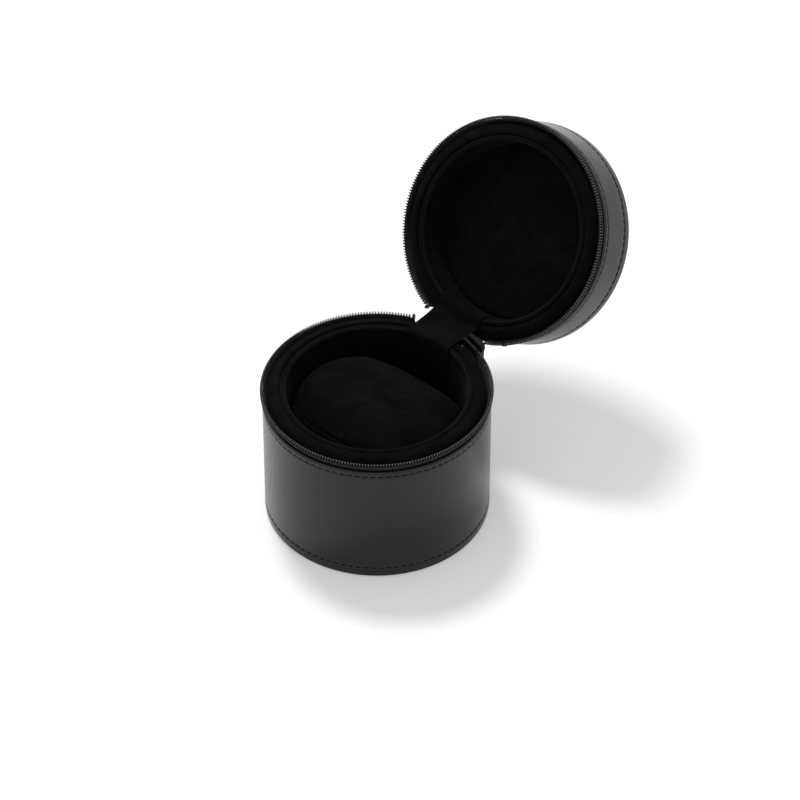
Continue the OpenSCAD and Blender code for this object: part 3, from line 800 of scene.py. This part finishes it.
def uneven_face(level, seed, amount, sink, reach):
    """A shape that lifts and dents the points above a level, all but the middle one."""
    def shape(theta, r, d):
        face = (d > level) & (r > 1)
        return np.zeros_like(d), np.where(face, waves(theta, r * reach, seed, amount) - sink, 0)
    return shape


INSERT_TOP, INSERT_FOOT = 33.0 - BASE_EDGE, 7.15 - BASE_EDGE
outline = from_level(INSERT_TOP, [(0, -0.8), (36.4, -0.8), (37.6, -1.8)])
outline += [[37.7, INSERT_FOOT], [38.5, INSERT_FOOT], [38.5, INSERT_TOP - 2.6]]
outline += arc(36.7, INSERT_TOP - 1.8, 1.8, 1.8, 0, 90, 8)
outline += [[r, INSERT_TOP] for r in (30, 24, 16, 8, 0)]
insert = lathe("insert_velvet", outline, velvet, "velvet", ["insert_cover"], steps=186,
               shape=uneven_face(INSERT_TOP - 0.1, 51, 0.12, 0.1, 1.0))

outline = from_level(BASE_FLOOR_D, [(0, 0.05), (38.2, 0.05), (38.5, 0.4), (38.2, 0.75), (20, 0.75),
                                    (0, 0.75)])
lathe("base_velvet_floor", outline, velvet, "velvet", ["base_floor_lining"], steps=96)

outline = from_level(LID_CEILING_D, [(0, -0.78), (38.85, -0.78)])
outline += arc(36.55, LID_CEILING_D - 0.72, 2.3, 1.15, 0, 90, 10)
outline += from_level(LID_CEILING_D, [(34, 0.5), (28, 0.62), (21, 0.7), (14, 0.76), (7, 0.8), (0, 0.8)])
ceiling = lathe("lid_velvet_ceiling", outline, velvet, "velvet", ["lid_ceiling_lining"], lid=True,
                steps=186, shape=uneven_face(LID_CEILING_D, 52, 0.2, 0.0, 0.6))

# %% [markdown]
# ## Hinge
# The lid hangs on two sheets: a leather strip outside, sewn into both seams, and a velvet
# strip inside, which is turned down into both cavities. Both follow a curve in the middle
# plane and the round wall to the sides.


# %% Strip from a grid of middle points
def strip_piece(name, middle, thickness, finish, slot, node):
    """middle is rows of points in millimetres, from the base to the lid; the strip gets its
    thickness on both sides of them."""
    p = np.asarray(middle, float)
    along = np.gradient(p, axis=0)
    across = np.gradient(p, axis=1)
    n = np.cross(across, along)
    n /= np.linalg.norm(n, axis=2)[:, :, None]
    edge = np.ones(p.shape[1]) * thickness / 2
    edge[0] = edge[-1] = thickness * 0.28
    upper, lower = p + n * edge[None, :, None], p - n * edge[None, :, None]
    ring = np.concatenate([upper, lower[:, ::-1]], axis=1)
    rows, cols = ring.shape[:2]
    faces, a, b = grid_faces(rows, cols, wrap_cols=True)
    far, wide = lengths_along(p[:, p.shape[1] // 2]), lengths_along(p[0])
    over = np.concatenate([wide, wide[-1] * 2 - wide[::-1], [wide[-1] * 2]])
    faces, coords = add_ends(faces, grid_coords(a, b, far, over), rows, cols)
    piece = make_piece(name, ring.reshape(-1, 3), faces, coords, finish, slot, None, [node], crease=60)
    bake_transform(piece)
    print(f"{name}: cut {wide[-1]:.1f} x {far[-1]:.1f} mm")


def on_round(x, r, z):
    """A row of points on a round wall, at one height, from their places to the side."""
    return np.stack([x, np.sqrt(r * r - x * x), np.full_like(x, z)], -1)


def bridge(p0, way0, p1, way1, reach, count):
    """Rows of a smooth curve between two rows of points, end rows left out."""
    u = np.linspace(0, 1, count + 2)[1:-1][:, None, None]
    return ((2 * u ** 3 - 3 * u ** 2 + 1) * p0 + (u ** 3 - 2 * u ** 2 + u) * reach * np.array(way0)
            + (3 * u ** 2 - 2 * u ** 3) * p1 + (u ** 3 - u ** 2) * reach * np.array(way1))


# %% Leather strip
xs = np.linspace(STRIP_LEFT, STRIP_RIGHT, 29)
sin_o, cos_o = math.sin(OPEN), math.cos(OPEN)
tucked = [on_round(xs, 47.5, z) for z in (54.6, 57.5, 60.5)]
lid_row = opened(on_round(xs, 47.85, LID_EDGE - 0.3))
free = bridge(tucked[-1], (0, 0, 1), lid_row, (0, sin_o, cos_o), 12.0, 30)
rows = tucked + list(free) + [lid_row]
strip_piece("hinge_leather", rows, 0.58, leather, "smooth_leather", "hinge_strip")

# %% [markdown]
# The velvet strip starts inside the base's cavity, goes over the piping and the crest,
# across the gap, and the same way into the lid. Its path is written as radius and depth,
# like everything else, with a little room over what it lies on.

# %% Velvet strip
lift = 0.45
turn_in = [(CAVITY_R - lift, x) for x in (-6.0, -4.0, -2.0, 0.0, 1.5)]
turn_in += [tuple(p) for p in arc(CAVITY_R + WELT_R, WELT_D, WELT_R + lift, WELT_R + lift, 175, 92, 9)]
turn_in += [(41.2, CREST_D + 0.38), (42.0, CREST_D + 0.36), (CREST_R, CREST_D + 0.34)]
lid_turn = turn_in[3:]
xs_base = np.linspace(STRIP_LEFT, STRIP_RIGHT, 33)
xs_lid = np.linspace(STRIP_LEFT - 1.5, STRIP_RIGHT - 0.5, 33)
from_base = [on_round(xs_base, r, BASE_EDGE + d) for r, d in turn_in]
into_lid = [opened(on_round(xs_lid, r, LID_EDGE - d)) for r, d in reversed(lid_turn)]
free = bridge(from_base[-1], (0, 1, 0), into_lid[0], (0, -cos_o, sin_o), 10.0, 26)
strip_piece("hinge_velvet", from_base + list(free) + into_lid, 0.6, velvet, "velvet", "hinge_lining")

# %% [markdown]
# ## Cushion
# The cushion is a velvet cover over foam: a crowned top panel sewn to a band, flat only
# where it stands, with round ends that follow the cavity. Its first shape is found by
# casting rays from its middle to a smooth wall of limits. Cloth with air pressure then lets
# the cover swell between its seams, the movement is capped, and the seam is drawn in last.

# %% First shape of the cushion
BOTTOM, HIGH, HALF, ROUND_R = 33.3, 62.5, 29.0, 38.4
CENTRE_Z = (BOTTOM + HIGH) / 2
SEAM_Z = 52.6
INSET = 1.1


def limits(p, inset):
    """How far a point is outside the cushion's rounded form; zero on its skin."""
    x, y, z = p[..., 0], p[..., 1], p[..., 2]
    rise = np.clip((z - CENTRE_Z) / (HIGH - CENTRE_Z), 0, 1)
    fall = np.clip((CENTRE_Z - 1 - z) / (CENTRE_Z - 1 - BOTTOM), 0, 1)
    rho = np.sqrt(x * x + y * y)
    wall = rho - (ROUND_R - inset - 1.2 * rise - 3.0 * fall ** 3)
    gap = np.abs(y) - (HALF - inset - 0.6 * rise - 3.0 * fall ** 3)
    crown = z - (HIGH - inset - y * y / 91.0 - 6.6 * (np.abs(x) / ROUND_R) ** 2.6)
    floor = BOTTOM + inset - z
    sharpness = 0.55
    sides = np.stack([wall, gap, crown, floor], -1) * sharpness
    top = sides.max(-1)
    return (top + np.log(np.exp(sides - top[..., None]).sum(-1))) / sharpness


def cast(directions, inset):
    """The skin's points in these directions from the cushion's middle."""
    near, far = np.zeros(len(directions)), np.full(len(directions), 60.0)
    centre = np.array([0, 0, CENTRE_Z])
    for _ in range(40):
        mid = (near + far) / 2
        out = limits(centre + directions * mid[:, None], inset) > 0
        far, near = np.where(out, mid, far), np.where(out, near, mid)
    return centre + directions * near[:, None]


def cube_ball(n):
    """Directions and quads of a cube whose faces are cut n by n and blown up to a ball."""
    t = np.tan(np.linspace(-math.pi / 4, math.pi / 4, n + 1))
    a, b = np.meshgrid(t, t, indexing="ij")
    one = np.ones_like(a)
    sides = [(one, a, b), (-one, -a, b), (-a, one, b), (a, -one, b), (a, b, one), (-a, b, -one)]
    points = np.concatenate([np.stack(s, -1).reshape(-1, 3) for s in sides])
    quads, _, _ = grid_faces(n + 1, n + 1)
    faces = np.concatenate([quads + i * (n + 1) ** 2 for i in range(6)])
    return points / np.linalg.norm(points, axis=1)[:, None], faces


ways, quads = cube_ball(30)
ways = ways * [1.0, 0.78, 0.45]
ways /= np.linalg.norm(ways, axis=1)[:, None]
skin = cast(ways, INSET)
cushion = make_piece("cushion", skin, quads.tolist(), np.zeros((len(quads) * 4, 2)), velvet,
                     "velvet", None, ["pillow_cover", "pillow_core"], crease=180)
print("cushion's first shape:", np.ptp(skin, axis=0).round(1), "mm")


# %% Let the cover swell
def read_points(mesh):
    co = np.empty(len(mesh.vertices) * 3)
    mesh.vertices.foreach_get("co", co)
    return co.reshape(-1, 3)


def swell(piece, blow_up, pressure, cap, frames=20):
    """Runs cloth with air pressure on an enlarged copy, and returns the capped movement."""
    scene = bpy.context.scene
    copy = piece.copy()
    copy.data = piece.data.copy()
    scene.collection.objects.link(copy)
    start = read_points(copy.data)
    copy.data.vertices.foreach_set("co", (start * blow_up).ravel())
    held = copy.vertex_groups.new(name="held")
    at_seam = np.abs(start[:, 2] - SEAM_Z * MM) < 0.0011
    at_foot = start[:, 2] < (BOTTOM + 2.2) * MM
    held.add(np.flatnonzero(at_seam | at_foot).tolist(), 1.0, "REPLACE")
    cloth = copy.modifiers.new("cloth", "CLOTH")
    cloth.settings.vertex_group_mass = "held"
    cloth.settings.quality = 5
    cloth.settings.use_pressure = True
    cloth.settings.uniform_pressure_force = pressure
    cloth.settings.effector_weights.gravity = 0
    cloth.settings.tension_stiffness = cloth.settings.compression_stiffness = 12
    cloth.settings.bending_stiffness = 0.4
    cloth.collision_settings.use_collision = False
    for number in range(1, frames + 1):
        scene.frame_set(number)
    settled = copy.evaluated_get(bpy.context.evaluated_depsgraph_get())
    move = read_points(settled.data) / blow_up - start
    scene.frame_set(1)
    bpy.data.objects.remove(copy)
    size = np.linalg.norm(move, axis=1)[:, None]
    print(f"cover swelled by {size.mean() * 1000:.2f} mm on average, {size.max() * 1000:.2f} at most")
    return start + move * np.minimum(1, cap * MM / np.maximum(size, 1e-9))


settled_points = swell(cushion, blow_up=10.0, pressure=6.0, cap=0.9)
cushion.data.vertices.foreach_set("co", settled_points.ravel())

# %% Smooth it once and draw in the seam
smoother = cushion.modifiers.new("finer", "SUBSURF")
smoother.levels = smoother.render_levels = 2
finer = bpy.data.meshes.new_from_object(cushion.evaluated_get(bpy.context.evaluated_depsgraph_get()))
cushion.modifiers.clear()
cushion.data = finer
co = read_points(finer) / MM
away = np.column_stack([co[:, 0], co[:, 1], np.zeros(len(co))])
away /= np.maximum(np.linalg.norm(away, axis=1), 1e-6)[:, None]
near_seam = np.exp(-((co[:, 2] - SEAM_Z) / 0.55) ** 2)
pucker = 1 + 0.25 * np.sin(118 * np.arctan2(co[:, 1], co[:, 0]))
on_side = np.clip((np.linalg.norm(co[:, :2], axis=1) - 20) / 5, 0, 1)
co -= away * (0.75 * near_seam * pucker * on_side)[:, None]
finer.vertices.foreach_set("co", (co * MM).ravel())
finer.shade_smooth()
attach(cushion, "pillow")
print("cushion:", len(finer.vertices), "points,", (co.min(0)).round(1), (co.max(0)).round(1))

# %% [markdown]
# ## Carried-over nodes
# The slider, its pull and the end stops are right as they are; a small bevel catches the
# light on their corners. The boards and foams stay in place inside, with their own finish.

# %% Finishes for the nodes that stay
kept = {"zip_slider": paint, "zip_pull": paint, "base_zip_stops": paint, "lid_zip_stops": paint}
for node_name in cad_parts:
    if "board" in node_name:
        kept[node_name] = board
    elif node_name.endswith("foam") or node_name == "insert_block":
        kept[node_name] = foam
for node_name, finish in kept.items():
    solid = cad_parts[node_name]
    if not solid.material_slots:
        solid.data.materials.append(finish)
    for material_slot in solid.material_slots:
        material_slot.material = finish
    if finish is paint:
        corner = solid.modifiers.new("soft corners", "BEVEL")
        corner.width, corner.segments = 0.00012, 2
        corner.limit_method, corner.angle_limit = "ANGLE", math.radians(35)
        corner.harden_normals = True
print("carried over:", ", ".join(sorted(kept)))

# %% [markdown]
# ## Floor, light and camera
# The case stands on a white table. One large soft lamp, high at the left and a little behind,
# gives the shadow, and the white surroundings give the rest. For the camera and for
# reflections the floor and the world are white; the floor still takes the shadow.

# %% Floor
def seen_white(tree):
    """1 for the rays of the camera, reflections and glass, and 0 for those that light the case."""
    rays = add(tree, "LightPath").outputs
    return sum_up(tree, "MAXIMUM", rays["Is Camera Ray"],
                  sum_up(tree, "MAXIMUM", rays["Is Glossy Ray"], rays["Is Transmission Ray"]))


far = 3.0
floor_mesh = bpy.data.meshes.new("table_top")
floor_mesh.from_pydata([(-far, -far, 0), (far, -far, 0), (far, far, 0), (-far, far, 0)], [], [(0, 1, 2, 3)])
table = in_scene("table_top", floor_mesh)
table.location.z = -0.0001
floor_paint, tree, shader, place = open_finish("table_white", Base_Color=(0.8, 0.8, 0.8, 1),
                                               Roughness=0.9, Specular_IOR_Level=0.0)
glow = add(tree, "Emission", {"Color": (1, 1, 1, 1),
                              "Strength": sum_up(tree, "MULTIPLY", seen_white(tree), 0.27)})
both = add(tree, "AddShader", {0: shader.outputs[0], 1: glow.outputs[0]})
tree.links.new(both.outputs[0], tree.nodes["Material Output"].inputs["Surface"])
floor_mesh.materials.append(floor_paint)

# %% World
world = bpy.data.worlds.new("white_room")
bpy.context.scene.world = world
world.use_nodes = True
tree = world.node_tree
sky = tree.nodes["Background"].inputs
tree.links.new(spread(tree, seen_white(tree), 0.0, 1.0, 0.6, 1.0), sky["Strength"])
sky["Color"].default_value = (1, 1, 1, 1)
print("floor and world:", floor_paint.name, world.name)

# %% Lamp
aim, azimuth, elevation, distance = Vector((0.0, 0.02, 0.06)), math.radians(157), math.radians(66), 1.3
lamp = bpy.data.lights.new("key_lamp", "AREA")
lamp.shape, lamp.size, lamp.energy = "DISK", 0.3, 10.0
holder = in_scene("key_lamp", lamp)
across = math.cos(elevation)
way = Vector((math.cos(azimuth) * across, math.sin(azimuth) * across, math.sin(elevation)))
holder.location = aim + distance * way
holder.rotation_euler = (holder.location - aim).to_track_quat("Z", "Y").to_euler()
print("lamp at", [round(x, 2) for x in holder.location])

# %% Camera
turned = 0.6888
back = Vector((0.4744, -0.5763, 0.6655)).normalized()
right = Vector((math.cos(turned), math.sin(turned), 0))
up = back.cross(right)
lens = bpy.data.cameras.new("camera")
lens.lens, lens.sensor_width, lens.clip_end = 180.0, 36.0, 20.0
camera = in_scene("camera", lens)
spot = Vector((0, 0, 0.04)) + back * 1.72185 + right * 0.009949 + up * 0.013188
turn = Matrix((right, up, back)).transposed().to_4x4()
camera.matrix_world = Matrix.Translation(spot) @ turn
bpy.context.scene.camera = camera
bpy.context.scene.view_settings.view_transform = "Standard"
print("camera at", [round(x, 3) for x in spot])
